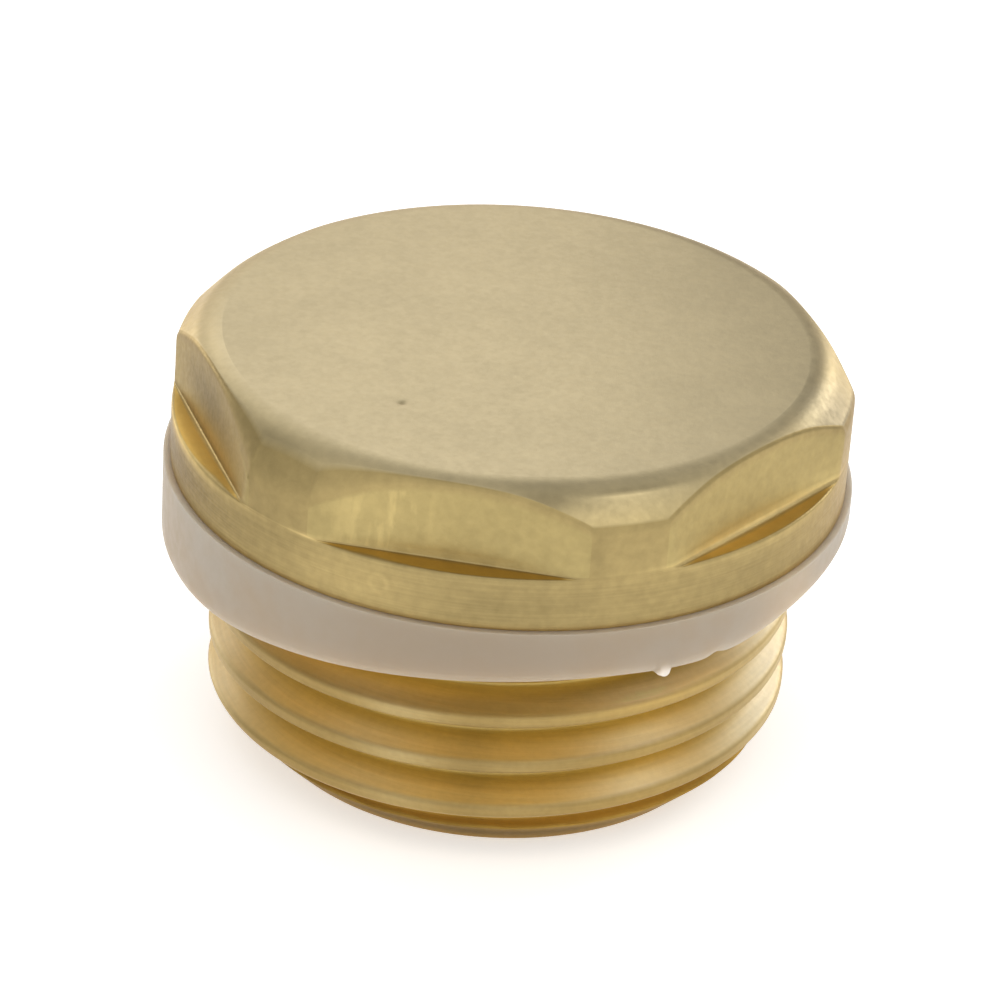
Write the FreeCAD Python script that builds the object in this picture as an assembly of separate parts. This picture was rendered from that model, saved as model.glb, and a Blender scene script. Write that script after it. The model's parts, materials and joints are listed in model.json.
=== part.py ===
import FreeCAD, Part
import math
import os

from FreeCAD import Vector

# Radiator blanking plug: one turned brass plug with a parallel pipe thread, and one soft plastic
# sealing washer pushed up under its head. Millimetres. The plug stands on the end of its thread,
# +Z runs up its axis to the head, and one spanner flat faces -Y.

# Thread: half-inch parallel pipe thread, right-hand, 55 degree form
thread_major_diameter = 20.955
thread_pitch = 1.814
thread_flank_angle = 27.5
thread_length = 7.2
thread_end_chamfer = 2.0
thread_start_angle = -6.7

# Relief between the thread and the head, which holds the washer
relief_undercut = 0.1
relief_clearance = 0.15

# Head: a round flange with spanner flats milled into its upper part
head_overhang = 1.5225
head_height = 4.9
head_chamfer = 1.12
head_top_round = 1.45
head_edge_break = 0.15
flat_count = 6
flat_ledge = 1.0
flat_height = 2.95
flat_foot_radius = 0.2
cutter_overrun = 1.0

# Blind hole drilled up the spigot
core_diameter = 13.0
core_depth = 7.5
core_point_angle = 118.0
core_mouth_chamfer = 0.5

# Sealing washer: its back is flat on the head, and its lower face lies out of square
washer_proud = 0.25
washer_thick_side = 3.25
washer_thin_side = 1.2
washer_thick_direction = 189.5
washer_grip = 0.2
washer_lower_bevel = 0.4
washer_upper_bevel = 0.15

AXIS = Vector(0, 0, 1)
ORIGIN = Vector(0, 0, 0)

# 55 degree form: a sharp triangle with a sixth of its height cut off at the crest and at the root
sharp_height = thread_pitch / (2 * math.tan(math.radians(thread_flank_angle)))
thread_depth = sharp_height * 2 / 3
root_width = thread_pitch / 6

crest_radius = thread_major_diameter / 2
root_radius = crest_radius - thread_depth
relief_radius = root_radius - relief_undercut
head_radius = crest_radius + head_overhang
washer_bore_radius = crest_radius - washer_grip
washer_outer_radius = head_radius + washer_proud
head_seat = thread_length + relief_clearance + washer_thick_side
head_top = head_seat + head_height


def at(radius, height):
    """Point of a turned outline, in the XZ plane."""
    return Vector(radius, 0, height)


def lines(points):
    return [Part.makeLine(start, end) for start, end in zip(points, points[1:])]


def arc(start, middle, end):
    return Part.Arc(start, middle, end).toShape()


def turned(edges):
    """Closed outline in the XZ plane, turned about the axis."""
    return Part.Face(Part.Wire(edges)).revolve(ORIGIN, AXIS, 360)


def turned_blank():
    """The plug as it leaves the lathe: end chamfer, plain spigot, relief, flange and rounded top edge."""
    half_turn = math.radians(45 / 2)
    reach = head_top_round * math.tan(half_turn)
    corner = head_radius - head_chamfer
    slant = reach * math.sin(math.radians(45))
    round_start = at(corner + slant, head_top - slant)
    round_end = at(corner - reach, head_top)
    round_middle = round_end + Vector(
        head_top_round * math.sin(half_turn), 0, head_top_round * (math.cos(half_turn) - 1)
    )
    side = [
        at(0, 0),
        at(crest_radius - thread_end_chamfer, 0),
        at(crest_radius, thread_end_chamfer),
        at(crest_radius, thread_length),
        at(relief_radius, thread_length),
        at(relief_radius, head_seat),
        at(head_radius - head_edge_break, head_seat),
        at(head_radius, head_seat + head_edge_break),
        at(head_radius, head_top - head_chamfer),
        round_start,
    ]
    top = [round_end, at(0, head_top), at(0, 0)]
    return turned(lines(side) + [arc(round_start, round_middle, round_end)] + lines(top))


def milled_flat():
    """One pass of the milling cutter across the head, with the cutter's corner radius at the foot."""
    apothem = head_radius - flat_ledge
    foot = head_top - flat_height
    outside = head_radius + cutter_overrun
    above = head_top + cutter_overrun
    inset = flat_foot_radius * (1 - math.sqrt(0.5))

    def across(distance, height):
        return Vector(-head_radius, -distance, height)

    foot_end = across(apothem + flat_foot_radius, foot)
    wall_start = across(apothem, foot + flat_foot_radius)
    foot_middle = across(apothem + inset, foot + inset)
    section = lines([wall_start, across(apothem, above), across(outside, above), across(outside, foot), foot_end])
    section.append(arc(foot_end, foot_middle, wall_start))
    return Part.Face(Part.Wire(section)).extrude(Vector(2 * head_radius, 0, 0))


def milled_flats():
    cuts = []
    for index in range(flat_count):
        cut = milled_flat()
        cut.rotate(ORIGIN, AXIS, index * 360 / flat_count)
        cuts.append(cut)
    return cuts


def core_hole():
    """Drilled blind hole with a pointed floor and a chamfered mouth."""
    radius = core_diameter / 2
    point_height = radius / math.tan(math.radians(core_point_angle / 2))
    outline = [
        at(0, -core_mouth_chamfer),
        at(radius + 2 * core_mouth_chamfer, -core_mouth_chamfer),
        at(radius, core_mouth_chamfer),
        at(radius, core_depth),
        at(0, core_depth + point_height),
        at(0, -core_mouth_chamfer),
    ]
    return turned(lines(outline))


def thread_groove():
    """Helical groove between the thread's ridges, from a turn below the end face up into the relief."""
    overcut = thread_pitch / 10
    mouth_half = root_width / 2 + (thread_depth + overcut) * math.tan(math.radians(thread_flank_angle))
    start = -thread_pitch
    end = thread_length + thread_pitch / 2
    section = lines(
        [
            at(root_radius, start - root_width / 2),
            at(crest_radius + overcut, start - mouth_half),
            at(crest_radius + overcut, start + mouth_half),
            at(root_radius, start + root_width / 2),
            at(root_radius, start - root_width / 2),
        ]
    )
    path = Part.makeLongHelix(thread_pitch, end - start, root_radius)
    path.translate(Vector(0, 0, start))
    groove = Part.Wire(path.Edges).makePipeShell([Part.Wire(section)], True, True)
    groove.rotate(ORIGIN, AXIS, thread_start_angle)
    return groove


def plug_body():
    return turned_blank().cut(milled_flats()).cut(core_hole()).cut(thread_groove())


def sealing_washer():
    """Turned ring with bevelled outer edges, trimmed on the slant below."""
    bottom = head_seat - washer_thick_side
    outline = [
        at(washer_bore_radius, bottom),
        at(washer_outer_radius, bottom),
        at(washer_outer_radius, head_seat - washer_upper_bevel),
        at(washer_outer_radius - washer_upper_bevel, head_seat),
        at(washer_bore_radius, head_seat),
        at(washer_bore_radius, bottom),
    ]
    reach = 2 * washer_outer_radius
    slope = math.degrees(math.atan2(washer_thick_side - washer_thin_side, 2 * washer_outer_radius))
    trim = Part.makeBox(2 * reach, 2 * reach, washer_thick_side, Vector(-reach, -reach, -washer_thick_side))
    trim.rotate(ORIGIN, Vector(0, 1, 0), slope)
    trim.translate(at(0, head_seat - (washer_thick_side + washer_thin_side) / 2))
    ring = turned(lines(outline)).cut(trim)
    slanted = [edge for edge in ring.Edges if edge.BoundBox.ZMin < head_seat - washer_thin_side]
    lower_edge = max(slanted, key=lambda edge: edge.BoundBox.XLength)
    ring = ring.makeChamfer(washer_lower_bevel, [lower_edge])
    ring.rotate(ORIGIN, AXIS, washer_thick_direction)
    return ring


os.makedirs("parts", exist_ok=True)
for name, shape in (("plug_body", plug_body()), ("sealing_washer", sealing_washer())):
    shape.exportStep("parts/" + name + ".step")
    print(name, "valid" if shape.isValid() else "not valid", len(shape.Solids), "solid", round(shape.Volume, 1))
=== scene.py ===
import json
import math

import bpy
import numpy as np
from bpy.props import FloatProperty, FloatVectorProperty, PointerProperty
from mathutils import Matrix, Vector


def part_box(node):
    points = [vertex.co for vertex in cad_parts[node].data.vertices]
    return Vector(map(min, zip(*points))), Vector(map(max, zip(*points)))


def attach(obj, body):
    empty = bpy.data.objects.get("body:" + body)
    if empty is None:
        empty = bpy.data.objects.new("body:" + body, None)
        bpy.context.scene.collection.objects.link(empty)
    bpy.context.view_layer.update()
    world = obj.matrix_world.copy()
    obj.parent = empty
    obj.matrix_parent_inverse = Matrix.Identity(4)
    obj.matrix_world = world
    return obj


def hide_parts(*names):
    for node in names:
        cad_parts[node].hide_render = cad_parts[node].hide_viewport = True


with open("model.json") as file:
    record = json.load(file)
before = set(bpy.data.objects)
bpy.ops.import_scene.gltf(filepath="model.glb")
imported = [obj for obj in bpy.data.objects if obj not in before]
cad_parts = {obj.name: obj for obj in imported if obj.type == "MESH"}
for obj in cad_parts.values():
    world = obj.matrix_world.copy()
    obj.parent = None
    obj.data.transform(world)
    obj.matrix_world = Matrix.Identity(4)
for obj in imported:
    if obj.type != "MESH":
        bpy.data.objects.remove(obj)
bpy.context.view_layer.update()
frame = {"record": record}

bl_info = {
    "name": "Radiator Blanking Plug",
    "version": (1, 0, 0),
    "blender": (4, 5, 0),
    "location": "View3D > Sidebar > Plug",
    "description": "Brass plug with milled spanner flats, a pipe thread and a plastic sealing washer",
    "category": "Add Mesh",
}

PLUG_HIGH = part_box("plug_body")[1]
WASHER_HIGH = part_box("sealing_washer")[1]
MOUNTS = {mount["name"]: mount for mount in frame["record"]["mounts"]}
MM = 0.001

# Columns round the axis: on each flat, on each corner between flats, and round the washer
FLAT_COLUMNS = 30
CORNER_COLUMNS = 10
WASHER_COLUMNS = 480

# Rows along each stretch of the plug's outline and of the washer's section
PLUG_ROWS = {
    "top": 22,
    "pit": 9,
    "slope": 24,
    "edge": 6,
    "wall": 10,
    "foot": 6,
    "ledge": 4,
    "flange_edge": 4,
    "flange": 7,
    "seat": 3,
    "relief": 3,
    "thread": 150,
    "end": 3,
    "mouth": 2,
    "core": 6,
    "point": 7,
}
WASHER_ROWS = {"back": 4, "arc": 6, "wall": 8, "face": 8, "bore": 5}

# Spanner flats: how many, the first one's direction, the rounding where a cut runs out of the flange,
# how far a ledge drops towards its ends, and the share of a flat that lies inside its upright edges
FLATS = 6
FIRST_FLAT = math.radians(-90)
CUT_ROUND = 0.02 * MM
LEDGE_FALL = 0.03 * MM
INSIDE_FLAT = 0.999

# Thread form
FLANK_ANGLE = math.radians(27.5)
ROOT_ROUND = 0.12 * MM
CREST_HALF = 0.19 * MM
CREST_ROUND = 0.16 * MM

# Half the angle of the drill's point, and the sharpest edges that are shaded smooth
DRILL_HALF_ANGLE = math.radians(59)
SMOOTH_BRASS = math.radians(40)
SMOOTH_PLASTIC = math.radians(50)

# Places round the axis: direction from +X and spread, in radians
ROUND_FOOT = (math.radians(-30), 0.35)
CHATTER = (math.radians(-102), 0.15)
# Painted highlight: round this direction the slope takes the top's pale colour
PAINTED_CORNER_HIGHLIGHT = (math.radians(-8), 0.3)
# Painted shade on the washer's front and painted light towards its right
WASHER_PAINTED_SHADE = (math.radians(-85), 0.45)
WASHER_PAINTED_LIGHT = (math.radians(-26), 0.15)
WORN_SPREAD = 0.27

# How much larger the foot's radius grows at its roundest, how many of its radii wide a ledge is when its
# colour is full, and how far the pit's crowded rows and its darker colour reach, in radii of the pit
ROUND_FOOT_GAIN = 2
FULL_LEDGE = 3
PIT_ROWS_REACH = 1.5
PIT_DARK_REACH = 1.3

# Ring mark on the flange: its direction and height, and its radius and line width in millimetres
DING_DIRECTION = math.radians(-100.2)
DING_HEIGHT = 11.67 * MM
DING_RADIUS = 0.32
DING_LINE = 0.16

# Lower edge of the washer: direction and spread in degrees, rise in millimetres
UNEVEN_EDGE = ((-90, 25, 0.17), (-42, 16, -0.40), (-137, 15, -0.12), (-42.5, 1.6, 0.14), (70, 20, 0.1))

# Nib of the washer: how far it bulges, and how much closer the columns stand there, over which spread
NIB_BULGE = 0.28 * MM
NIB_CROWD = 0.75
NIB_CROWD_SPREAD = 0.12

# Painted light and shade, in spots: direction in degrees, height in millimetres, their spreads, and how much
# lighter it is painted
FLAT_PAINTED_LIGHT = (
    (-150, 14.0, 22, 1.6, -0.58),
    (0, 14.6, 14, 0.8, -0.20),
    (-65.5, 13.4, 1.6, 1.2, -0.14),
    (-103, 14.0, 10, 1.0, 0.13),
)
LEDGE_PAINTED_LIGHT = (
    (-30, 12.66, 20, 0.07, 1.10),
    (-30, 12.95, 20, 0.22, 0.28),
    (-30, 12.5, 20, 0.3, 0.25),
    (-42, 12.56, 9, 0.05, 0.45),
    (-113.5, 12.55, 3.5, 0.06, 0.60),
    (-120, 12.6, 12, 1.5, -0.15),
    (-147, 12.95, 14, 0.35, 0.22),
    (-150, 12.62, 20, 0.06, -0.50),
    (-150, 12.55, 20, 0.03, 0.65),
    (-150, 12.5, 20, 0.3, 0.30),
    (-150, 12.46, 20, 0.05, 0.50),
)
FLANGE_PAINTED_LIGHT = (
    (-36, 11.4, 16, 1.2, -0.12),
    (-80, 11.4, 14, 0.9, -0.16),
    (-90, 10.63, 200, 0.08, 0.25),
    (-106, 11.6, 10, 1.0, 0.18),
    (-150, 11.8, 26, 0.8, -0.17),
    (-155, 11.3, 24, 0.8, -0.30),
    (-173, 11.8, 11, 0.9, -0.32),
)
THREAD_PAINTED_LIGHT = (
    (-46, 4.0, 12, 2.6, 0.20),
    (-50, 6.6, 14, 0.5, 0.30),
    (-75, 6.4, 60, 0.3, 0.28),
    (-80, 1.6, 50, 0.4, 0.28),
    (-80, 0.7, 60, 0.5, -0.55),
    (-84, 4.0, 5, 3.0, -0.12),
    (-137, 4.0, 10, 3.0, -0.12),
)
PAINTED_LIGHT_SPOTS = FLAT_PAINTED_LIGHT + LEDGE_PAINTED_LIGHT + FLANGE_PAINTED_LIGHT + THREAD_PAINTED_LIGHT

# Painted light and shade on the slope round the top, as above
RIM_PAINTED_LIGHT = (
    (-8, 14.9, 16, 0.6, -0.45),
    (-57, 15.26, 9, 0.08, -0.32),
    (-59, 15.16, 6, 0.05, 0.35),
    (-74, 15.1, 8, 0.28, -0.46),
    (-122.5, 14.5, 8, 0.3, 0.15),
    (-125.5, 15.1, 10, 0.12, -0.25),
    (-131, 15.15, 4, 0.15, 0.20),
    (-160, 15.45, 14, 0.1, 0.25),
)

# Painted highlights on the thread's flanks and crests, in paler colours: as above, but how much of the pale
# colour shows
PAINTED_FLANK_HIGHLIGHTS = (
    (-14, 4.0, 20, 9.0, 1.00),
    (-50, 4.0, 12, 3.5, 0.90),
    (-105, 4.5, 12, 3.0, 0.40),
    (-152, 4.0, 14, 9.0, 0.40),
)
PAINTED_CREST_HIGHLIGHTS = (
    (-8, 4.0, 18, 9.0, 0.90),
    (-75, 4.0, 10, 3.0, 0.12),
    (-98, 5.0, 8, 3.5, 0.55),
    (-154, 4.0, 14, 9.0, 0.70),
)

# Painted light across the top: how much lighter it is painted per millimetre along X and Y
TOP_PAINTED_LIGHT = (0.007, -0.006)

# Limits that the finishes fade between: most of a noise's values, depths under the thread's crests and
# heights over its end in millimetres
NOISE_RANGE = (0.3, 0.7)
CREST_TO_FLANK = (0.0, 0.2)
FLANK_TO_ROOT = (0.4, 1.1)
END_TO_THREAD = (1.4, 2.2)

# Numbers of the sockets that hold colours on a Mix node
MIX_FIRST = 6
MIX_SECOND = 7
MIX_RESULT = 2

# Softboxes: name, azimuth and elevation in degrees, distance and side in metres, power in watts
SOFTBOXES = (
    ("key", 60, 55, 0.40, 0.20, 0.08),
    ("window", 211, 41, 0.065, 0.06, 0.0087),
    ("right", 147, 18, 0.30, 0.12, 0.21),
    ("left", 236, 6, 0.30, 0.12, 0.155),
)

# Room light: its strength behind the plug and in front of it, and how far towards each it is full
ROOM_BEHIND = 0.36
ROOM_FRONT = 1.0
ROOM_FULL = 0.7

# Half the side of the floor, in metres
FLOOR_HALF = 1.5


class PlugSizes(bpy.types.PropertyGroup):
    """Sizes of the turned brass plug."""

    head_radius: FloatProperty(
        name="Head radius", description="Radius of the round flange", default=PLUG_HIGH.x, unit="LENGTH"
    )
    head_top: FloatProperty(
        name="Head top", description="Height of the top face", default=PLUG_HIGH.z, unit="LENGTH"
    )
    head_seat: FloatProperty(
        name="Head seat",
        description="Height of the flange's underside, where the washer lies",
        default=WASHER_HIGH.z,
        unit="LENGTH",
    )
    flat_distance: FloatProperty(
        name="Flat distance",
        description="From the axis to each spanner flat",
        default=-MOUNTS["spanner_flat"]["pos_m"][1],
        unit="LENGTH",
    )
    flat_height: FloatProperty(
        name="Flat height", description="From a flat's foot to the top face", default=2.95 * MM, unit="LENGTH"
    )
    flat_foot: FloatProperty(
        name="Flat foot", description="Radius left by the cutter's corner", default=0.06 * MM, unit="LENGTH"
    )
    flat_lean: FloatProperty(
        name="Flat lean", description="How far a flat leans out at its foot", default=0.12 * MM, unit="LENGTH"
    )
    head_chamfer: FloatProperty(
        name="Head chamfer", description="Width of the slope round the top", default=1.12 * MM, unit="LENGTH"
    )
    top_round: FloatProperty(
        name="Top round", description="Radius between the top and its slope", default=1.45 * MM, unit="LENGTH"
    )
    shoulder: FloatProperty(
        name="Shoulder", description="Radius between the slope and the side", default=0.4 * MM, unit="LENGTH"
    )
    edge_break: FloatProperty(
        name="Edge break", description="Broken lower edge of the flange", default=0.025 * MM, unit="LENGTH"
    )
    worn_edge: FloatProperty(
        name="Worn edge", description="Width of the wear on milled edges", default=0.12 * MM, unit="LENGTH"
    )
    worn_corner: FloatProperty(
        name="Worn corner",
        description="Width of the wear on the most worn corner between flats",
        default=0.75 * MM,
        unit="LENGTH",
    )
    worn_direction: FloatProperty(
        name="Worn direction",
        description="Angle of the most worn corner from +X",
        default=math.radians(-120),
        subtype="ANGLE",
    )
    thread_radius: FloatProperty(
        name="Thread radius",
        description="Radius over the thread's crests",
        default=MOUNTS["thread"]["dims"]["r_mm"] * MM,
        unit="LENGTH",
    )
    thread_length: FloatProperty(
        name="Thread length",
        description="From the end face to the relief",
        default=MOUNTS["thread"]["dims"]["length_mm"] * MM,
        unit="LENGTH",
    )
    thread_pitch: FloatProperty(
        name="Thread pitch", description="Rise of the thread in one turn", default=1.814 * MM, unit="LENGTH"
    )
    thread_start: FloatProperty(
        name="Thread start",
        description="Angle at which a root meets the end face",
        default=math.radians(-6.7),
        subtype="ANGLE",
    )
    end_chamfer: FloatProperty(
        name="End chamfer", description="Slope at the end of the thread", default=2.0 * MM, unit="LENGTH"
    )
    relief_radius: FloatProperty(
        name="Relief radius", description="Plain neck under the head", default=9.216 * MM, unit="LENGTH"
    )
    core_radius: FloatProperty(
        name="Core radius", description="Radius of the blind hole", default=6.5 * MM, unit="LENGTH"
    )
    core_depth: FloatProperty(
        name="Core depth", description="Depth of the hole's straight wall", default=7.5 * MM, unit="LENGTH"
    )
    core_mouth: FloatProperty(
        name="Core mouth", description="Chamfer at the hole's mouth", default=0.5 * MM, unit="LENGTH"
    )
    pit_place: FloatVectorProperty(
        name="Pit place",
        description="Small pit in the top face",
        default=(-2.747 * MM, -6.179 * MM, PLUG_HIGH.z),
        size=3,
        unit="LENGTH",
    )
    pit_radius: FloatProperty(
        name="Pit radius", description="Radius of the pit", default=0.19 * MM, unit="LENGTH"
    )
    pit_depth: FloatProperty(
        name="Pit depth", description="Depth of the pit", default=0.05 * MM, unit="LENGTH"
    )


class WasherSizes(bpy.types.PropertyGroup):
    """Sizes of the plastic washer, which was cut off out of square."""

    outer_radius: FloatProperty(
        name="Outer radius", description="Radius of the outer wall", default=12.25 * MM, unit="LENGTH"
    )
    bore_radius: FloatProperty(
        name="Bore radius", description="Radius of the bore", default=10.2775 * MM, unit="LENGTH"
    )
    thick_side: FloatProperty(
        name="Thick side", description="Height at the thick side", default=3.25 * MM, unit="LENGTH"
    )
    thin_side: FloatProperty(
        name="Thin side", description="Height at the thin side", default=1.2 * MM, unit="LENGTH"
    )
    thick_direction: FloatProperty(
        name="Thick direction",
        description="Angle of the thick side from +X",
        default=math.radians(189.5),
        subtype="ANGLE",
    )
    lower_round: FloatProperty(
        name="Lower round", description="Radius of the lower outer edge", default=0.45 * MM, unit="LENGTH"
    )
    upper_round: FloatProperty(
        name="Upper round", description="Radius of the upper outer edge", default=0.025 * MM, unit="LENGTH"
    )
    nib_direction: FloatProperty(
        name="Nib direction",
        description="Angle of the nib of flash from +X",
        default=math.radians(-52.8),
        subtype="ANGLE",
    )
    nib_width: FloatProperty(
        name="Nib width", description="Half the width of the nib", default=0.25 * MM, unit="LENGTH"
    )
    nib_length: FloatProperty(
        name="Nib length", description="How far the nib hangs down", default=0.12 * MM, unit="LENGTH"
    )


class BrassFinish(bpy.types.PropertyGroup):
    """Colours of the brass where it was turned, milled and threaded."""

    # Satin top: a paler finish, partly painted light
    top_satin_and_light_color: FloatVectorProperty(
        name="Top", description="Satin top face", default=(0.605, 0.512, 0.315), size=3, subtype="COLOR"
    )
    side_color: FloatVectorProperty(
        name="Side", description="Turned flange", default=(0.41, 0.31, 0.132), size=3, subtype="COLOR"
    )
    flat_color: FloatVectorProperty(
        name="Flats", description="Milled flats", default=(0.445, 0.345, 0.145), size=3, subtype="COLOR"
    )
    ledge_color: FloatVectorProperty(
        name="Ledge", description="Foot of the flats", default=(0.55, 0.37, 0.10), size=3, subtype="COLOR"
    )
    slope_color: FloatVectorProperty(
        name="Slope", description="Slope round the top", default=(0.56, 0.44, 0.21), size=3, subtype="COLOR"
    )
    # Painted shade: a darker copy of the flank colour on the crests
    crest_painted_shade: FloatVectorProperty(
        name="Crest", description="The thread's crests", default=(0.39, 0.268, 0.085), size=3, subtype="COLOR"
    )
    flank_color: FloatVectorProperty(
        name="Flank", description="The thread's flanks", default=(0.655, 0.455, 0.13), size=3, subtype="COLOR"
    )
    # Painted shade: a darker copy of the flank colour in the roots
    root_painted_shade: FloatVectorProperty(
        name="Root", description="The thread's roots", default=(0.50, 0.34, 0.055), size=3, subtype="COLOR"
    )
    # Painted shade near the floor: the slope at the end of the thread
    end_painted_shade: FloatVectorProperty(
        name="End", description="Slope at the end", default=(0.41, 0.26, 0.06), size=3, subtype="COLOR"
    )
    # Darker colour in and round the pit
    pit_color: FloatVectorProperty(
        name="Pit", description="Dirt in the pit", default=(0.30, 0.25, 0.14), size=3, subtype="COLOR"
    )


class PlasticFinish(bpy.types.PropertyGroup):
    """Colours of the off-white plastic."""

    plastic_color: FloatVectorProperty(
        name="Plastic", description="Off-white plastic", default=(0.40, 0.315, 0.22), size=3, subtype="COLOR"
    )
    nib_color: FloatVectorProperty(
        name="Nib", description="Thin bright flash", default=(0.72, 0.62, 0.53), size=3, subtype="COLOR"
    )
    stain_color: FloatVectorProperty(
        name="Stain", description="Faint stains", default=(0.405, 0.345, 0.27), size=3, subtype="COLOR"
    )


class StageSettings(bpy.types.PropertyGroup):
    """Camera, floor and lights."""

    camera_azimuth: FloatProperty(
        name="Azimuth", description="Camera's turn about +Z", default=math.radians(9.5), subtype="ANGLE"
    )
    camera_elevation: FloatProperty(
        name="Elevation", description="Camera over the horizon", default=math.radians(29.122), subtype="ANGLE"
    )
    camera_roll: FloatProperty(
        name="Roll", description="Clockwise turn of the picture", default=math.radians(3.813), subtype="ANGLE"
    )
    camera_distance: FloatProperty(
        name="Distance", description="Camera to its target", default=150 * MM, unit="LENGTH"
    )
    target_side: FloatProperty(
        name="Target side", description="Target right of the axis", default=-0.2 * MM, unit="LENGTH"
    )
    target_height: FloatProperty(
        name="Target height", description="Target above the floor", default=8.822 * MM, unit="LENGTH"
    )
    lens: FloatProperty(name="Lens", description="Focal length in millimetres", default=150.87)
    floor_color: FloatVectorProperty(
        name="Floor", description="Pale floor", default=(0.92, 0.92, 0.92), size=3, subtype="COLOR"
    )


def polar(radius, angle, height):
    """Points at a radius and angle round the axis, at a height."""
    radius, angle, height = np.broadcast_arrays(radius, angle, height)
    return np.stack([radius * np.cos(angle), radius * np.sin(angle), height], -1)


def steps(count):
    """Even steps up to 1, without the 0, as a column."""
    return (np.arange(1, count + 1) / count)[:, None]


def smooth_min(first, second, width):
    """The lower of two values, with their corner rounded by a parabola over the width."""
    share = np.clip(0.5 + 0.5 * (second - first) / width, 0, 1)
    return second + (first - second) * share - width * share * (1 - share)


def worn_corner(start, corner, end, count):
    """A parabola that leaves start towards the corner and reaches end from it, without its first row."""
    t = steps(count)
    return (1 - t) ** 2 * start + 2 * t * (1 - t) * corner + t**2 * end


def bell(offset, width):
    """Gauss curve: 1 at no offset, falling away over the width."""
    return np.exp(-((offset / width) ** 2))


def turn_between(angle, reference):
    """Signed angle from a reference, between half a turn either way."""
    return (angle - reference + math.pi) % (2 * math.pi) - math.pi


def near(angle, direction, spread):
    """Gauss curve round the axis: 1 in a direction, falling away over the spread."""
    return bell(turn_between(angle, direction), spread)


def spots(places, angle, height):
    """Sum of Gauss spots round the axis, each at a direction and height with its spreads and strength."""
    total = np.zeros(height.shape)
    for direction, level, turn_spread, level_spread, strength in places:
        around = near(angle, math.radians(direction), math.radians(turn_spread))
        total += strength * around * bell(height / MM - level, level_spread)
    return total


def grid_mesh(name, points, closed_rows=False, poles=()):
    """Mesh of a grid whose columns run round the axis. Rows are joined to the next by quads. The last
    row joins the first on a ring, or else a fan of triangles closes each end to its pole."""
    rows, columns = points.shape[:2]
    row = np.arange(rows if closed_rows else rows - 1)[:, None]
    column = np.arange(columns)[None, :]
    below = (row + 1) % rows
    beside = (column + 1) % columns
    corners = (
        row * columns + column,
        below * columns + column,
        below * columns + beside,
        row * columns + beside,
    )
    faces = np.stack(np.broadcast_arrays(*corners), -1).reshape(-1, 4).tolist()
    vertices = points.reshape(-1, 3)
    if poles:
        first, last = column[0], (rows - 1) * columns + column[0]
        top, bottom = np.full(columns, rows * columns), np.full(columns, rows * columns + 1)
        faces += np.stack([top, first, first[beside[0]]], -1).tolist()
        faces += np.stack([bottom, last[beside[0]], last], -1).tolist()
        vertices = np.concatenate([vertices, np.asarray(poles)])
    mesh = bpy.data.meshes.new(name)
    mesh.from_pydata(vertices.tolist(), [], faces)
    mesh.shade_smooth()
    return mesh


def set_mark(mesh, name, values):
    """Stores one number per vertex; a grid's poles take the values of its first and last rows."""
    poles = values[[0, -1], 0][: len(mesh.vertices) - values.size]
    filled = np.append(values, poles).astype(np.float32)
    mesh.attributes.new(name, "FLOAT", "POINT").data.foreach_set("value", filled)


def place(name, mesh, material, node, slot):
    """Links a finished mesh as the piece that stands for a CAD node."""
    piece = bpy.data.objects.new(name, mesh)
    bpy.context.scene.collection.objects.link(piece)
    mesh.materials.append(material)
    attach(piece, "root")
    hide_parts(node)


def column_angles(sizes):
    """Angle of each column and its turn from the nearest flat's normal. Sine spacing on each flat and on
    each corner between flats crowds the columns at the flats' upright edges."""
    half_flat = math.acos(sizes.flat_distance / sizes.head_radius)
    half_sector = math.pi / FLATS
    across_flat = half_flat * np.sin(math.pi * (np.arange(FLAT_COLUMNS) / FLAT_COLUMNS - 0.5))
    across_corner = (half_sector - half_flat) * np.sin(
        math.pi * (np.arange(CORNER_COLUMNS) / CORNER_COLUMNS - 0.5)
    )
    turn = np.concatenate([across_flat, half_sector + across_corner])
    normals = FIRST_FLAT + 2 * half_sector * np.arange(FLATS)[:, None]
    from_normal = np.where(turn > half_sector, turn - 2 * half_sector, turn)
    return (normals + turn).ravel(), np.tile(from_normal, FLATS)


def thread_radius_at(sizes, angle, height):
    """Radius of the thread at an angle and height. The distance along the axis from the nearest root,
    rounded to a hyperbola, gives the drop below the crest down a 55 degree flank. Parabolas round the crest
    and the edge where a 45 degree slope at the end cuts the form back."""
    pitch = sizes.thread_pitch
    turns = height / pitch - (angle - sizes.thread_start) / (2 * math.pi)
    from_root = np.sqrt((np.abs((turns + 0.5) % 1 - 0.5) * pitch) ** 2 + ROOT_ROUND**2)
    flank = (pitch / 2 - CREST_HALF - from_root) / math.tan(FLANK_ANGLE)
    drop = -smooth_min(-flank, np.zeros_like(flank), CREST_ROUND)
    end_slope = sizes.thread_radius - sizes.end_chamfer + height
    return smooth_min(sizes.thread_radius - drop, end_slope, CREST_ROUND)


class Rows:
    """Rows of a grid of turned shape, gathered one stretch of its outline at a time."""

    def __init__(self, angle):
        self.angle = angle
        self.radii, self.heights, self.zones = [], [], []

    def add(self, zone, radius, height):
        """Adds a stretch; a column of values is one per row, and a line of values one per angle."""
        radius, height = np.broadcast_arrays(radius, height, np.zeros((1, self.angle.size)))[:2]
        self.radii.append(radius)
        self.heights.append(height)
        self.zones.extend([zone] * len(radius))

    def joined(self):
        return np.concatenate(self.radii), np.concatenate(self.heights), np.array(self.zones)[:, None]


def level_top(sizes):
    """Radius at which the level top ends, and how far its rounded edge reaches beyond it."""
    slope_start = sizes.head_radius - sizes.head_chamfer
    level_end = slope_start - sizes.top_round * math.tan(math.pi / 8)
    return level_end, sizes.top_round * math.sin(math.pi / 4)


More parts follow.
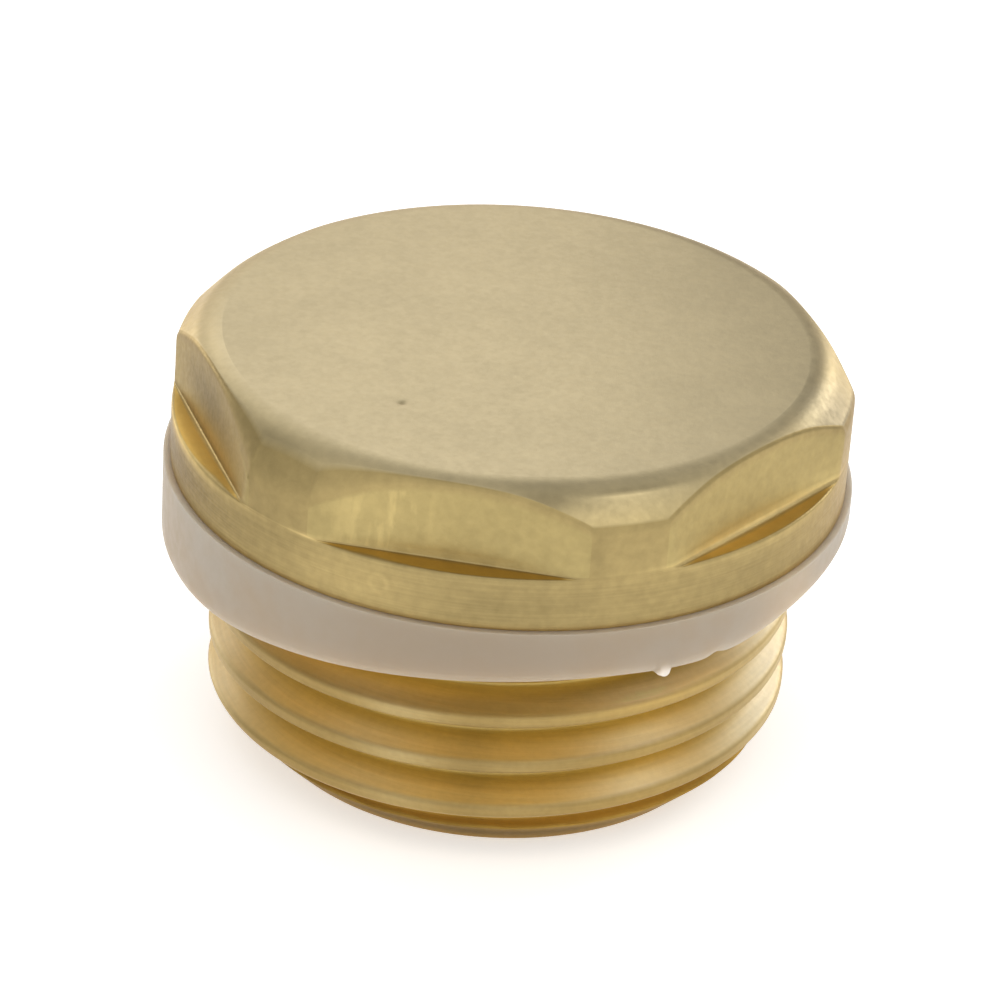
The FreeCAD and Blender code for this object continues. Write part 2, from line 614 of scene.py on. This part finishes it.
def head_outline(sizes, radius):
    """Height of the lathe's outline: level, then an arc through 45 degrees, a 45 degree slope, and an arc
    through 45 degrees more to the side."""
    level_end, reach = level_top(sizes)
    past = np.clip(radius - level_end, 0, reach)
    arc = np.sqrt(sizes.top_round**2 - past**2) - sizes.top_round
    inward = sizes.shoulder * math.sqrt(0.5)
    slope_end = sizes.head_radius - sizes.shoulder + inward
    straight = np.clip(radius - level_end - reach, 0, slope_end - level_end - reach)
    around = np.clip(radius - sizes.head_radius + sizes.shoulder, inward, sizes.shoulder)
    return sizes.head_top + arc - straight - inward + np.sqrt(sizes.shoulder**2 - around**2)


def flat_cut(sizes, turn, distance):
    """Radius of each column where a flat cuts it: distance / cos(turn from the flat's normal), or the
    flange's radius where that is less."""
    return smooth_min(distance / np.cos(turn), sizes.head_radius, CUT_ROUND)


def add_top(rows, sizes):
    """Level top, in even steps from the centre with more rows across the pit."""
    across_pit = np.linspace(-PIT_ROWS_REACH, PIT_ROWS_REACH, PLUG_ROWS["pit"])
    pit_radii = math.hypot(*sizes.pit_place[:2]) + sizes.pit_radius * across_pit
    radii = np.sort(np.append(level_top(sizes)[0] * steps(PLUG_ROWS["top"]), pit_radii))
    rows.add("top", radii[:, None], sizes.head_top)


def add_flats(rows, sizes, turn, worn):
    """Slope round the top, worn edge, flats that lean out by the square of their fall, and round feet.
    Gives the height of the feet, and the radius of each column's ledge where it starts."""
    cut = flat_cut(sizes, turn, sizes.flat_distance)
    level_end = level_top(sizes)[0]
    slope = level_end + (cut - worn - level_end) * steps(PLUG_ROWS["slope"])
    rows.add("slope", slope, head_outline(sizes, slope))
    edge = head_outline(sizes, cut)
    wall_top = edge - worn
    edge_height = worn_corner(head_outline(sizes, cut - worn), edge, wall_top, PLUG_ROWS["edge"])
    rows.add("edge", worn_corner(cut - worn, cut, cut, PLUG_ROWS["edge"]), edge_height)
    foot = sizes.head_top - sizes.flat_height
    foot_round = sizes.flat_foot * (1 + ROUND_FOOT_GAIN * near(rows.angle, *ROUND_FOOT))
    wall = wall_top + (foot + foot_round - wall_top) * steps(PLUG_ROWS["wall"])
    fallen = np.clip((sizes.head_top - wall) / sizes.flat_height, 0, 1)
    rows.add("wall", flat_cut(sizes, turn, sizes.flat_distance + sizes.flat_lean * fallen**2), wall)
    sweep = steps(PLUG_ROWS["foot"]) * math.pi / 2
    foot_cut = flat_cut(sizes, turn, sizes.flat_distance + sizes.flat_lean)
    foot_radius = np.minimum(foot_cut + foot_round * (1 - np.cos(sweep)), sizes.head_radius)
    rows.add("foot", foot_radius, foot + foot_round * (1 - np.sin(sweep)))
    return foot, foot_radius[-1]


def add_flange(rows, sizes, foot, ledge_start, worn):
    """Ledges at the feet of the flats, which drop a little towards their ends, and the round flange under
    them with its worn upper edge and its broken lower edge."""
    ledge_width = sizes.head_radius - ledge_start
    fall = LEDGE_FALL * (1 - ledge_width / ledge_width.max())
    ledge_end = sizes.head_radius - np.minimum(worn, ledge_width / 2)
    out = steps(PLUG_ROWS["ledge"])
    rows.add("ledge", ledge_start + (ledge_end - ledge_start) * out, foot - fall * out)
    flange_top = foot - fall - sizes.worn_edge
    count = PLUG_ROWS["flange_edge"]
    upper_edge = worn_corner(ledge_end, sizes.head_radius, sizes.head_radius, count)
    rows.add("side", upper_edge, worn_corner(foot - fall, foot - fall, flange_top, count))
    flange_foot = sizes.head_seat + sizes.edge_break
    rows.add("side", sizes.head_radius, flange_top + (flange_foot - flange_top) * steps(PLUG_ROWS["flange"]))
    seat_radius = sizes.head_radius - sizes.edge_break
    lower_edge = worn_corner(sizes.head_radius, sizes.head_radius, seat_radius, count)
    rows.add("side", lower_edge, worn_corner(flange_foot, sizes.head_seat, sizes.head_seat, count))


def add_spigot(rows, sizes):
    """Seat under the head, relief, thread and end face."""
    seat_radius = sizes.head_radius - sizes.edge_break
    seat = seat_radius + (sizes.relief_radius - seat_radius) * steps(PLUG_ROWS["seat"])
    rows.add("side", seat, sizes.head_seat)
    relief = sizes.head_seat + (sizes.thread_length - sizes.head_seat) * steps(PLUG_ROWS["relief"])
    rows.add("relief", sizes.relief_radius, relief)
    thread = sizes.thread_length * np.linspace(1, 0, PLUG_ROWS["thread"] + 1)[:, None]
    rows.add("thread", thread_radius_at(sizes, rows.angle, thread), thread)
    end_radius = sizes.thread_radius - sizes.end_chamfer
    mouth_radius = sizes.core_radius + sizes.core_mouth
    rows.add("side", end_radius + (mouth_radius - end_radius) * steps(PLUG_ROWS["end"]), 0)


def add_core(rows, sizes):
    """Blind hole: chamfered mouth, straight wall and the drill's cone. Gives the height of the cone's tip."""
    mouth = sizes.core_mouth * steps(PLUG_ROWS["mouth"])
    rows.add("side", sizes.core_radius + sizes.core_mouth - mouth, mouth)
    wall = sizes.core_mouth + (sizes.core_depth - sizes.core_mouth) * steps(PLUG_ROWS["core"])
    rows.add("side", sizes.core_radius, wall)
    point = steps(PLUG_ROWS["point"])[:-1]
    point_height = sizes.core_radius / math.tan(DRILL_HALF_ANGLE)
    rows.add("side", sizes.core_radius * (1 - point), sizes.core_depth + point_height * point)
    return sizes.core_depth + point_height


def plug_marks(rows, sizes, turn, ledge_start):
    """What the brass finish has to know at each vertex: on which face it lies, how much painted light, shade
    and highlight it takes, and how deep under the thread's crests."""
    angle = rows.angle
    radius, height, zone = rows.joined()
    level_end = level_top(sizes)[0]
    down_slope = np.clip((radius - level_end) / (sizes.head_radius - level_end), 0, 1)
    on_slope = zone == "slope"
    on_crown = on_slope | (zone == "top")
    on_thread = zone == "thread"
    half_flat = math.acos(sizes.flat_distance / sizes.head_radius)
    milled = (zone == "wall") & (np.abs(turn) < half_flat * INSIDE_FLAT)
    ledge_width = sizes.head_radius - ledge_start
    painted_sheen = (radius * np.cos(angle) * TOP_PAINTED_LIGHT[0] + radius * np.sin(angle) * TOP_PAINTED_LIGHT[1]) / MM
    # Painted light and shade: lighter and darker spots over the flats, ledges, flange, thread and slope
    painted_share = np.where(zone == "top", 0, np.where(on_slope, down_slope, 1))
    tone = 1 + painted_share * spots(PAINTED_LIGHT_SPOTS, angle, height)
    # Painted light across the top, fading out half-way down the slope
    tone += on_crown * np.clip(1 - 2 * down_slope, 0, 1) * painted_sheen
    tone += on_slope * spots(RIM_PAINTED_LIGHT, angle, height)
    return {
        # top: the satin top, and a painted highlight in its colour on the slope
        "top": on_crown * np.maximum(1 - down_slope, near(angle, *PAINTED_CORNER_HIGHLIGHT)),
        "slope": on_slope * down_slope,
        "ledge": (zone == "ledge") * np.clip(ledge_width / sizes.flat_foot / FULL_LEDGE, 0, 1),
        "thread": on_thread,
        "painted_flank_highlight": on_thread * np.clip(spots(PAINTED_FLANK_HIGHLIGHTS, angle, height), 0, 1),
        "painted_crest_highlight": on_thread * np.clip(spots(PAINTED_CREST_HIGHLIGHTS, angle, height), 0, 1),
        "turned": on_thread | (zone == "side"),
        "flat": milled,
        "chatter": milled * near(angle, *CHATTER),
        # tone: painted light and shade
        "tone": tone,
        "depth": (sizes.thread_radius - radius) / MM,
    }


def plug_body_mesh(sizes):
    """One grid over the whole plug: columns round the axis, rows down the outline from the top's centre
    to the point of the blind hole. On each column the outline is the lathe's, cut back at the radius
    flat_distance / cos(turn from the flat's normal), so that every milled edge runs along a row."""
    angle, turn = column_angles(sizes)
    more_worn = near(angle, sizes.worn_direction, WORN_SPREAD)
    worn = sizes.worn_edge + (sizes.worn_corner - sizes.worn_edge) * more_worn
    rows = Rows(angle)
    add_top(rows, sizes)
    foot, ledge_start = add_flats(rows, sizes, turn, worn)
    add_flange(rows, sizes, foot, ledge_start, worn)
    add_spigot(rows, sizes)
    tip_height = add_core(rows, sizes)
    radius, height, _ = rows.joined()
    points = polar(radius, angle, height)
    from_pit = np.linalg.norm(points - np.array(sizes.pit_place), axis=-1)
    points[..., 2] -= sizes.pit_depth * bell(from_pit, sizes.pit_radius)
    mesh = grid_mesh("plug_body", points, poles=((0, 0, sizes.head_top), (0, 0, tip_height)))
    mesh.set_sharp_from_angle(angle=SMOOTH_BRASS)
    for name, values in plug_marks(rows, sizes, turn, ledge_start).items():
        set_mark(mesh, name, np.broadcast_to(values, radius.shape))
    return mesh


def washer_angles(sizes):
    """Angles round the washer, evenly spaced but for a crowd of columns at the nib."""
    even = np.arange(WASHER_COLUMNS) / WASHER_COLUMNS * 2 * math.pi - math.pi
    spacing = 1 - NIB_CROWD * near(even, sizes.nib_direction, NIB_CROWD_SPREAD)
    angle = np.cumsum(spacing) / spacing.sum() * 2 * math.pi
    shift = angle[np.argmin(np.abs(turn_between(even, sizes.nib_direction)))] - sizes.nib_direction
    return angle - shift


def sealing_washer_mesh(sizes, seat):
    """A ring: columns round the axis, rows round the section. The lower face is a plane out of square,
    z = seat - mean height - half the difference * cos(turn from the thick side) * radius / outer radius.
    Gauss curves make its edge uneven, and half an ellipse along the edge gives the nib."""
    angle = washer_angles(sizes)
    mean = (sizes.thick_side + sizes.thin_side) / 2
    lean = (sizes.thick_side - sizes.thin_side) / 2 * np.cos(angle - sizes.thick_direction)
    uneven = np.zeros(angle.size)
    for direction, spread, rise in UNEVEN_EDGE:
        uneven += rise * MM * near(angle, math.radians(direction), math.radians(spread))

    def lower(radius):
        return seat - mean - lean * radius / sizes.outer_radius + uneven

    outer, bore, bend, crown = sizes.outer_radius, sizes.bore_radius, sizes.lower_round, sizes.upper_round
    sweep = steps(WASHER_ROWS["arc"]) * math.pi / 2
    wall_foot = lower(outer) + bend
    wall_top = seat - crown
    rows = Rows(angle)
    rows.add("back", bore + (outer - crown - bore) * steps(WASHER_ROWS["back"]), seat)
    rows.add("crown", outer - crown * (1 - np.sin(sweep)), wall_top + crown * np.cos(sweep))
    rows.add("wall", outer, wall_top + (wall_foot - wall_top) * steps(WASHER_ROWS["wall"]))
    bend_radius = outer - bend * (1 - np.cos(sweep))
    rows.add("bend", bend_radius, lower(bend_radius) + bend * (1 - np.sin(sweep)))
    face_radius = outer - bend + (bore - outer + bend) * steps(WASHER_ROWS["face"])
    rows.add("face", face_radius, lower(face_radius))
    rows.add("bore", bore, lower(bore) + (seat - lower(bore)) * steps(WASHER_ROWS["bore"]))
    radius, height, _ = rows.joined()
    along = turn_between(angle, sizes.nib_direction) * outer
    blob = np.sqrt(np.clip(1 - (along / sizes.nib_width) ** 2, 0, 1))
    hang = blob * bell(height - lower(outer), bend) * bell(radius - outer + bend / 2, bend)
    points = polar(radius + NIB_BULGE * hang, angle, height - sizes.nib_length * hang)
    mesh = grid_mesh("sealing_washer", points, closed_rows=True)
    mesh.set_sharp_from_angle(angle=SMOOTH_PLASTIC)
    # shade and light: painted shade and painted light on the washer
    marks = {"nib": hang, "shade": near(angle, *WASHER_PAINTED_SHADE), "light": near(angle, *WASHER_PAINTED_LIGHT)}
    for name, values in marks.items():
        set_mark(mesh, name, np.broadcast_to(values, radius.shape))
    return mesh


class Finish:
    """Lays out the nodes of one material, so that each finish reads as a recipe."""

    def __init__(self, name):
        self.material = bpy.data.materials.new(name)
        self.material.use_nodes = True
        self.tree = self.material.node_tree
        self.shader = self.tree.nodes["Principled BSDF"]
        place = self.add("ShaderNodeTexCoord").outputs["Object"]
        self.millimetres = self.scaled(place, 1 / MM)

    def feed(self, socket, value):
        """Links a socket to another, or sets a constant on it."""
        if isinstance(value, bpy.types.NodeSocket):
            self.tree.links.new(value, socket)
        else:
            socket.default_value = value

    def add(self, kind, inputs=None, **settings):
        """Adds a node with its settings and inputs."""
        node = self.tree.nodes.new(kind)
        for name, value in settings.items():
            setattr(node, name, value)
        for key, value in (inputs or {}).items():
            self.feed(node.inputs[key], value)
        return node

    def surface(self, inputs):
        """Feeds the shader's sockets by their names."""
        for name, value in inputs.items():
            self.feed(self.shader.inputs[name], value)

    def scaled(self, vector, scale):
        """Place or colour times a number."""
        return self.add("ShaderNodeVectorMath", {0: vector, "Scale": scale}, operation="SCALE").outputs[0]

    def math(self, operation, *values):
        """Result of a sum on sockets or numbers."""
        return self.add("ShaderNodeMath", dict(enumerate(values)), operation=operation).outputs[0]

    def mark(self, name):
        """Number that the mesh holds under a name."""
        return self.add("ShaderNodeAttribute", attribute_name=name).outputs["Fac"]

    def noise(self, per_millimetre, detail=3.0, stretch=(1, 1, 1)):
        """Noise with so many features per millimetre, stretched along the axes."""
        place = self.add("ShaderNodeMapping", {"Vector": self.millimetres, "Scale": stretch}).outputs[0]
        inputs = {"Vector": place, "Scale": per_millimetre, "Detail": detail}
        return self.add("ShaderNodeTexNoise", inputs).outputs[0]

    def distance(self, place):
        """Millimetres from a place."""
        node = self.add("ShaderNodeVectorMath", {0: self.millimetres}, operation="DISTANCE")
        node.inputs[1].default_value = Vector(place) / MM
        return node.outputs["Value"]

    def fade(self, value, low, high, to_low=0.0, to_high=1.0):
        """Smooth step from one value to another between two limits."""
        inputs = {"Value": value, "From Min": low, "From Max": high, "To Min": to_low, "To Max": to_high}
        return self.add("ShaderNodeMapRange", inputs, interpolation_type="SMOOTHSTEP").outputs[0]

    def blend(self, share, first, second):
        """Colour that goes from the first to the second by a share."""
        node = self.add("ShaderNodeMix", data_type="RGBA")
        self.feed(node.inputs[0], share)
        self.feed(node.inputs[MIX_FIRST], first)
        self.feed(node.inputs[MIX_SECOND], second)
        return node.outputs[MIX_RESULT]

    def mottled(self, share, color, low, high):
        """One colour that goes from a first tone of it to a second by a share."""
        return self.blend(share, opaque(color, low), opaque(color, high))

    def bump(self, height, distance, strength, normal=None):
        """Normal that follows a height, on top of another normal where there is one."""
        node = self.add("ShaderNodeBump", {"Height": height, "Distance": distance, "Strength": strength})
        if normal is not None:
            self.feed(node.inputs["Normal"], normal)
        return node.outputs[0]


def opaque(color, tone=1.0):
    """Colour with its alpha, made lighter or darker by a tone."""
    return (*(min(channel * tone, 1.0) for channel in color), 1.0)


def thread_color(finish, colors, depth, past_end):
    """Crests, flanks and roots by their depth, with painted shade on crests and roots, painted highlights,
    and painted shade on the slope at the end.
    """
    painted_flank_highlight, painted_crest_highlight = (finish.mark(name) for name in ("painted_flank_highlight", "painted_crest_highlight"))
    # Painted highlights: flanks and crests turn paler where highlights fall
    flank = finish.blend(painted_flank_highlight, opaque(colors.flank_color), opaque(colors.top_satin_and_light_color, tone=1.15))
    crest = finish.blend(painted_crest_highlight, opaque(colors.crest_painted_shade), opaque(colors.slope_color, tone=1.1))
    # Painted shade: crests and roots darker than the flanks
    groove = finish.blend(finish.fade(depth, *CREST_TO_FLANK), crest, flank)
    groove = finish.blend(finish.fade(depth, *FLANK_TO_ROOT), groove, opaque(colors.root_painted_shade))
    # Painted shade on the slope at the end, fading out up the thread
    return finish.blend(past_end, opaque(colors.end_painted_shade), groove)


def brass_color(finish, colors, groove):
    """Turned flange, thread, milled flats with bars of chatter, ledges, scuffed slope and satin top, whose
    paler colour is partly painted light.
    """
    blotch = finish.fade(finish.noise(per_millimetre=2.2, detail=3.0), *NOISE_RANGE)
    turned = finish.mottled(blotch, colors.side_color, low=0.95, high=1.05)
    color = finish.blend(finish.mark("thread"), turned, groove)
    milled = finish.mottled(blotch, colors.flat_color, low=0.96, high=1.04)
    upright = finish.noise(per_millimetre=2.4, detail=4.0, stretch=(1, 0.05, 0.3))
    bars = finish.fade(upright, low=0.42, high=0.62)
    chatter = finish.math("MULTIPLY", bars, finish.mark("chatter"))
    milled = finish.blend(chatter, milled, opaque(colors.flat_color, tone=1.22))
    color = finish.blend(finish.mark("flat"), color, milled)
    color = finish.blend(finish.mark("ledge"), color, opaque(colors.ledge_color))
    scuffs = finish.fade(finish.noise(per_millimetre=1.6, detail=5.0), low=0.35, high=0.7)
    scuffed = finish.mottled(scuffs, colors.slope_color, low=0.95, high=1.1)
    color = finish.blend(finish.mark("slope"), color, scuffed)
    mottle = finish.fade(finish.noise(per_millimetre=0.35, detail=4.0), *NOISE_RANGE)
    satin = finish.mottled(mottle, colors.top_satin_and_light_color, low=0.97, high=1.03)
    return finish.blend(finish.mark("top"), color, satin)


def brass_material(colors, sizes):
    """Satin brass. Each machined face has its own colour, over painted light and shade, turning lines and
    fine grain.
    """
    finish = Finish("brass")
    thread, depth, turned, painted_light_and_shade = (finish.mark(name) for name in ("thread", "depth", "turned", "tone"))
    height = finish.add("ShaderNodeSeparateXYZ", {0: finish.millimetres}).outputs["Z"]
    past_end = finish.fade(height, *END_TO_THREAD)
    color = brass_color(finish, colors, thread_color(finish, colors, depth, past_end))
    grain = finish.noise(per_millimetre=5.0, detail=4.0)
    lines = finish.noise(per_millimetre=12.0, detail=2.0, stretch=(0.02, 0.02, 1))
    streaks = finish.fade(lines, *NOISE_RANGE, to_low=-0.045, to_high=0.045)
    streaks = finish.math("MULTIPLY", streaks, turned)
    from_ding = finish.distance(polar(sizes.head_radius, DING_DIRECTION, DING_HEIGHT))
    off_ring = finish.math("ABSOLUTE", finish.math("SUBTRACT", from_ding, DING_RADIUS))
    ring = finish.fade(off_ring, low=0.0, high=DING_LINE, to_low=0.1, to_high=0.0)
    speckle = finish.noise(per_millimetre=2.8, detail=3.0)
    specks = finish.fade(speckle, *NOISE_RANGE, to_low=-0.025, to_high=0.025)
    # Painted light and shade, with the real specks, turning streaks and ring mark
    tone = finish.math("ADD", finish.math("ADD", painted_light_and_shade, specks), finish.math("ADD", streaks, ring))
    color = finish.scaled(color, tone)
    # Darker colour in and round the pit
    dark_reach = sizes.pit_radius / MM * PIT_DARK_REACH
    from_pit = finish.distance(sizes.pit_place)
    in_pit = finish.fade(from_pit, low=0.0, high=dark_reach, to_low=1.0, to_high=0.0)
    off_crest = finish.fade(depth, *CREST_TO_FLANK, to_low=0.3, to_high=1.0)
    satin = finish.fade(grain, *NOISE_RANGE, to_low=0.38, to_high=0.46)
    normal = finish.bump(grain, distance=0.012 * MM, strength=0.5)
    turning = finish.math("MULTIPLY", lines, turned)
    normal = finish.bump(turning, distance=0.02 * MM, strength=0.5, normal=normal)
    finish.surface(
        {
            "Base Color": finish.blend(in_pit, color, opaque(colors.pit_color)),
            "Metallic": 1.0,
            "Specular Tint": (0.94, 0.85, 0.79, 1.0),
            "Roughness": finish.math("MULTIPLY_ADD", thread, 0.14, satin),
            "Coat Weight": finish.math("MULTIPLY", finish.math("MULTIPLY", thread, off_crest), past_end),
            "Coat Roughness": 0.35,
            "Coat IOR": 1.6,
            "Normal": finish.bump(ring, distance=0.2 * MM, strength=0.5, normal=normal),
        }
    )
    return finish.material


def plastic_material(colors):
    """Off-white plastic that lets a little light in, with faint stains, painted shade at its front and
    painted light towards its right.
    """
    finish = Finish("white_plastic")
    stains = finish.fade(finish.noise(per_millimetre=0.3, detail=4.0), low=0.35, high=0.7)
    color = finish.blend(stains, opaque(colors.plastic_color), opaque(colors.stain_color))
    # Painted shade on the front, then painted light towards the right
    color = finish.blend(finish.mark("shade"), color, opaque(colors.plastic_color, tone=0.90))
    color = finish.blend(finish.mark("light"), color, opaque(colors.plastic_color, tone=1.25))
    on_nib = finish.fade(finish.mark("nib"), low=0.2, high=0.7)
    gloss = finish.noise(per_millimetre=2.0)
    ripple = finish.noise(per_millimetre=2.5, detail=4.0)
    finish.surface(
        {
            "Base Color": finish.blend(on_nib, color, opaque(colors.nib_color)),
            "Subsurface Weight": 0.9,
            "Subsurface Radius": (1.0, 0.9, 0.8),
            "Subsurface Scale": 2.0 * MM,
            "Roughness": finish.fade(gloss, *NOISE_RANGE, to_low=0.45, to_high=0.6),
            "Normal": finish.bump(ripple, distance=0.02 * MM, strength=0.4),
        }
    )
    return finish.material


def floor_material(color):
    """Matt pale floor with a very faint unevenness."""
    finish = Finish("floor")
    finish.surface(
        {
            "Base Color": finish.mottled(finish.noise(per_millimetre=0.01), color, low=1.0, high=0.98),
            "Emission Color": (1, 1, 1, 1),
            "Emission Strength": 0.45,
            "Roughness": 0.9,
            "Specular IOR Level": 0.0,
        }
    )
    return finish.material


def compass(azimuth, elevation):
    """Unit vector at an azimuth, counted as the camera's, and an elevation."""
    level = math.cos(elevation)
    return Vector((math.sin(azimuth) * level, -math.cos(azimuth) * level, math.sin(elevation)))


def add_camera(stage):
    """Camera that looks at its target, turned about its own line of sight by the roll."""
    toward = compass(stage.camera_azimuth, stage.camera_elevation)
    right = Vector((math.cos(stage.camera_azimuth), math.sin(stage.camera_azimuth), 0))
    up = toward.cross(right)
    roll = stage.camera_roll
    picture_right = right * math.cos(roll) + up * math.sin(roll)
    picture_up = up * math.cos(roll) - right * math.sin(roll)
    target = right * stage.target_side + Vector((0, 0, stage.target_height))
    data = bpy.data.cameras.new("camera")
    data.lens = stage.lens
    data.sensor_width = 36
    data.clip_start = 1 * MM
    camera = bpy.data.objects.new("camera", data)
    axes = Matrix((picture_right, picture_up, toward)).transposed().to_4x4()
    camera.matrix_world = Matrix.Translation(target + toward * stage.camera_distance) @ axes
    bpy.context.scene.collection.objects.link(camera)
    bpy.context.scene.camera = camera


def add_floor(stage):
    """Large flat square under the plug."""
    side = np.array([-FLOOR_HALF, FLOOR_HALF])
    x, y = np.meshgrid(side, side)
    mesh = bpy.data.meshes.new("floor")
    mesh.from_pydata(np.stack([x, y, 0 * x], -1).reshape(-1, 3).tolist(), [], [(0, 1, 3, 2)])
    mesh.materials.append(floor_material(stage.floor_color))
    floor = bpy.data.objects.new("floor", mesh)
    bpy.context.scene.collection.objects.link(floor)


def add_softbox(name, azimuth, elevation, distance, side, power):
    """Square softbox that faces the plug."""
    data = bpy.data.lights.new(name, "AREA")
    data.size = side
    data.energy = power
    light = bpy.data.objects.new(name, data)
    away = compass(math.radians(azimuth), math.radians(elevation))
    light.location = away * distance
    light.rotation_euler = away.to_track_quat("Z", "Y").to_euler()
    light.visible_camera = False
    bpy.context.scene.collection.objects.link(light)


def add_room(front):
    """Pale room light that is brighter in front, towards the camera, than behind."""
    world = bpy.data.worlds.new("room")
    world.use_nodes = True
    nodes, links = world.node_tree.nodes, world.node_tree.links
    coordinates = nodes.new("ShaderNodeTexCoord")
    facing = nodes.new("ShaderNodeVectorMath")
    facing.operation = "DOT_PRODUCT"
    facing.inputs[1].default_value = front
    links.new(coordinates.outputs["Generated"], facing.inputs[0])
    ramp = nodes.new("ShaderNodeMapRange")
    ramp.interpolation_type = "SMOOTHSTEP"
    limits = {"From Min": -ROOM_FULL, "From Max": ROOM_FULL, "To Min": ROOM_BEHIND, "To Max": ROOM_FRONT}
    for name, value in limits.items():
        ramp.inputs[name].default_value = value
    links.new(facing.outputs["Value"], ramp.inputs["Value"])
    links.new(ramp.outputs[0], nodes["Background"].inputs["Strength"])
    nodes["Background"].inputs["Color"].default_value = (1, 1, 1, 1)
    bpy.context.scene.world = world


class PLUG_OT_plug_body(bpy.types.Operator):
    """Add the brass plug: head, spanner flats, thread and blind hole"""

    bl_idname = "plug.plug_body"
    bl_label = "Plug Body"

    def execute(self, context):
        scene = context.scene
        mesh = plug_body_mesh(scene.plug_sizes)
        material = brass_material(scene.plug_brass, scene.plug_sizes)
        place("brass_plug", mesh, material, "plug_body", "brass")
        return {"FINISHED"}


class PLUG_OT_sealing_washer(bpy.types.Operator):
    """Add the plastic sealing washer under the head"""

    bl_idname = "plug.sealing_washer"
    bl_label = "Sealing Washer"

    def execute(self, context):
        scene = context.scene
        mesh = sealing_washer_mesh(scene.plug_washer, scene.plug_sizes.head_seat)
        place("plastic_washer", mesh, plastic_material(scene.plug_plastic), "sealing_washer", "white_plastic")
        return {"FINISHED"}


class PLUG_OT_stage(bpy.types.Operator):
    """Add the floor, the lights and the camera"""

    bl_idname = "plug.stage"
    bl_label = "Stage"

    def execute(self, context):
        stage = context.scene.plug_stage
        add_floor(stage)
        add_room(compass(stage.camera_azimuth, 0))
        for softbox in SOFTBOXES:
            add_softbox(*softbox)
        add_camera(stage)
        context.scene.view_settings.view_transform = "Standard"
        return {"FINISHED"}


class PLUG_PT_sidebar(bpy.types.Panel):
    """Lists the pieces of the plug"""

    bl_idname = "PLUG_PT_sidebar"
    bl_label = "Radiator Blanking Plug"
    bl_space_type = "VIEW_3D"
    bl_region_type = "UI"
    bl_category = "Plug"

    def draw(self, context):
        for operator in OPERATORS:
            self.layout.operator(operator.bl_idname)


OPERATORS = (PLUG_OT_plug_body, PLUG_OT_sealing_washer, PLUG_OT_stage)
GROUPS = {
    "plug_sizes": PlugSizes,
    "plug_washer": WasherSizes,
    "plug_brass": BrassFinish,
    "plug_plastic": PlasticFinish,
    "plug_stage": StageSettings,
}
CLASSES = (*GROUPS.values(), *OPERATORS, PLUG_PT_sidebar)


def register():
    for kind in CLASSES:
        bpy.utils.register_class(kind)
    for name, group in GROUPS.items():
        setattr(bpy.types.Scene, name, PointerProperty(type=group))


def unregister():
    for name in GROUPS:
        delattr(bpy.types.Scene, name)
    for kind in reversed(CLASSES):
        bpy.utils.unregister_class(kind)


def main():
    register()
    bpy.ops.plug.plug_body()
    bpy.ops.plug.sealing_washer()
    bpy.ops.plug.stage()


if __name__ == "__main__":
    main()
